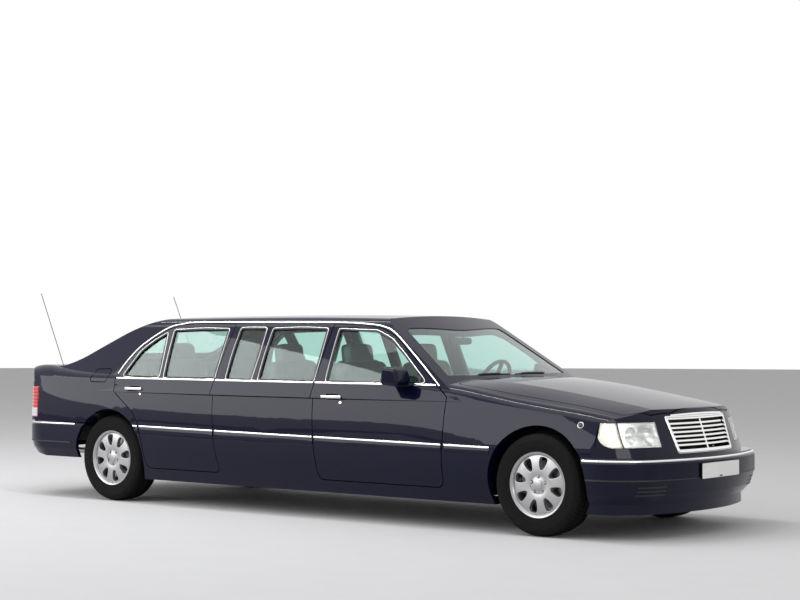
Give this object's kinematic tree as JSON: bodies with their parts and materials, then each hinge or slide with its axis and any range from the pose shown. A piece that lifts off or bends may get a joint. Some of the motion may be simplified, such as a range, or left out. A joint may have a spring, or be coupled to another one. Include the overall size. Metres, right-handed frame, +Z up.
{
  "type": "luxury sedan",
  "caption": "Stretched limousine with hinged doors, hood, boot lid and fuel flap, steered front wheels and rolling wheels.",
  "frame": {"origin": "on the ground, at the middle of the car's length and width", "axes": "+X towards the nose, +Y towards the car's left, +Z up"},
  "size_m": [6.2128, 2.062, 1.6852],
  "materials": {
    "paint": "gloss",
    "window_glass": "gloss",
    "underbody": "matte",
    "chrome_trim": "polished",
    "clear_lamp": "gloss",
    "red_lamp": "gloss",
    "dash_plastic": "satin",
    "seat_leather": "satin",
    "cast_metal": "matte",
    "pipe_steel": "satin",
    "alloy": "satin",
    "tyre_rubber": "matte"
  },
  "bodies": {
    "body": {"floor_pan": "underbody", "roof_panel": "paint", "side_frames": "paint", "fenders": "paint", "bulkheads": "paint", "nose_panel": "paint", "front_bumper": "paint", "rear_bumper": "paint", "grille": "chrome_trim", "headlamps": "clear_lamp", "taillamps": "red_lamp", "windshield": "window_glass", "rear_window": "window_glass", "side_windows": "window_glass", "dashboard": "dash_plastic", "seats": "seat_leather", "powertrain": "cast_metal", "exhaust": "pipe_steel", "front_axle": "cast_metal", "rear_axle": "cast_metal", "antennas": "chrome_trim"},
    "fuel_flap": {"fuel_flap": "paint"},
    "steering_wheel": {"steering_wheel": "dash_plastic"},
    "hood": {"hood": "paint"},
    "trunk_lid": {"trunk_lid": "paint"},
    "front_door_right": {"door_front_right": "paint", "glass_front_right": "window_glass", "mirror_right": "paint"},
    "rear_door_right": {"door_rear_right": "paint", "glass_rear_right": "window_glass"},
    "knuckle_right": {"knuckle_right": "cast_metal"},
    "wheel_front_right": {"rim_front_right": "alloy", "tyre_front_right": "tyre_rubber"},
    "wheel_rear_right": {"rim_rear_right": "alloy", "tyre_rear_right": "tyre_rubber"},
    "front_door_left": {"door_front_left": "paint", "glass_front_left": "window_glass", "mirror_left": "paint"},
    "rear_door_left": {"door_rear_left": "paint", "glass_rear_left": "window_glass"},
    "knuckle_left": {"knuckle_left": "cast_metal"},
    "wheel_front_left": {"rim_front_left": "alloy", "tyre_front_left": "tyre_rubber"},
    "wheel_rear_left": {"rim_rear_left": "alloy", "tyre_rear_left": "tyre_rubber"}
  },
  "joints": [
    {"name": "front_door_right_hinge", "type": "hinge", "parent": "body", "child": "front_door_right", "pos_m": [1.461, -0.955, 0.6], "axis": [0, 0, 1], "range_deg": [0, 68]},
    {"name": "rear_door_right_hinge", "type": "hinge", "parent": "body", "child": "rear_door_right", "pos_m": [-0.688, -0.955, 0.6], "axis": [0, 0, 1], "range_deg": [0, 68]},
    {"name": "front_door_left_hinge", "type": "hinge", "parent": "body", "child": "front_door_left", "pos_m": [1.461, 0.955, 0.6], "axis": [0, 0, -1], "range_deg": [0, 68]},
    {"name": "rear_door_left_hinge", "type": "hinge", "parent": "body", "child": "rear_door_left", "pos_m": [-0.688, 0.955, 0.6], "axis": [0, 0, -1], "range_deg": [0, 68]},
    {"name": "hood_hinge", "type": "hinge", "parent": "body", "child": "hood", "pos_m": [1.478, 0, 1.046], "axis": [0, -1, 0], "range_deg": [0, 50]},
    {"name": "trunk_lid_hinge", "type": "hinge", "parent": "body", "child": "trunk_lid", "pos_m": [-2.432, 0, 1.134], "axis": [0, 1, 0], "range_deg": [0, 75]},
    {"name": "fuel_flap_hinge", "type": "hinge", "parent": "body", "child": "fuel_flap", "pos_m": [-1.97, -0.87618, 1.01136], "axis": [0, 0.5299, 0.848], "range_deg": [0, 95]},
    {"name": "steer_left", "type": "hinge", "parent": "body", "child": "knuckle_left", "pos_m": [2.2265, 0.735, 0.344], "axis": [0, 0, 1], "range_deg": [-35, 35]},
    {"name": "steer_right", "type": "hinge", "parent": "body", "child": "knuckle_right", "pos_m": [2.2265, -0.735, 0.344], "axis": [0, 0, 1], "range_deg": [-35, 35]},
    {"name": "steering_wheel_turn", "type": "hinge", "parent": "body", "child": "steering_wheel", "pos_m": [0.95, 0.385, 0.965], "axis": [-0.9063, 0, 0.4226], "range_deg": [-525, 525]},
    {"name": "wheel_front_right_spin", "type": "hinge", "parent": "knuckle_right", "child": "wheel_front_right", "pos_m": [2.2265, -0.8015, 0.344], "axis": [0, 1, 0], "continuous": true},
    {"name": "wheel_rear_right_spin", "type": "hinge", "parent": "body", "child": "wheel_rear_right", "pos_m": [-1.9135, -0.788, 0.344], "axis": [0, 1, 0], "continuous": true},
    {"name": "wheel_front_left_spin", "type": "hinge", "parent": "knuckle_left", "child": "wheel_front_left", "pos_m": [2.2265, 0.8015, 0.344], "axis": [0, 1, 0], "continuous": true},
    {"name": "wheel_rear_left_spin", "type": "hinge", "parent": "body", "child": "wheel_rear_left", "pos_m": [-1.9135, 0.788, 0.344], "axis": [0, 1, 0], "continuous": true}
  ],
  "couplings": [
    {"joint": "steer_right", "follows": "steer_left", "ratio": 1},
    {"joint": "steering_wheel_turn", "follows": "steer_left", "ratio": 15}
  ]
}
